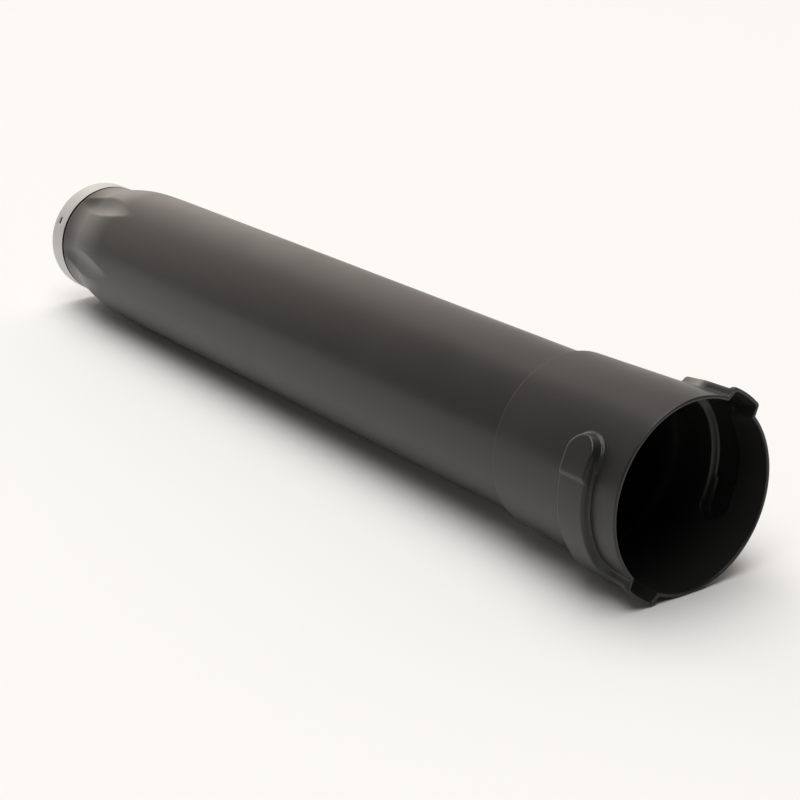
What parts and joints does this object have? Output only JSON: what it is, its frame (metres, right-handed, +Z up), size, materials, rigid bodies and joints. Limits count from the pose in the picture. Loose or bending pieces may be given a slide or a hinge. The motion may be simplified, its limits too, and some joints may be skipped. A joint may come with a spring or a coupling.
{
  "type": "leaf blower nozzle tube",
  "caption": "Round tapered blower nozzle tube with a bayonet socket at one end, a scalloped neck and a metal wear ring at the outlet.",
  "frame": {"origin": "on the floor, under the middle of the lying tube's length and width", "axes": "+X along the tube from the outlet to the socket's mouth, +Z up from the floor"},
  "size_m": [0.4604, 0.0842, 0.0788],
  "materials": {
    "black_plastic": "satin moulded",
    "ring_metal": "satin rolled"
  },
  "bodies": {
    "root": {"nozzle_tube": "black_plastic", "wear_ring": "ring_metal"}
  },
  "joints": []
}
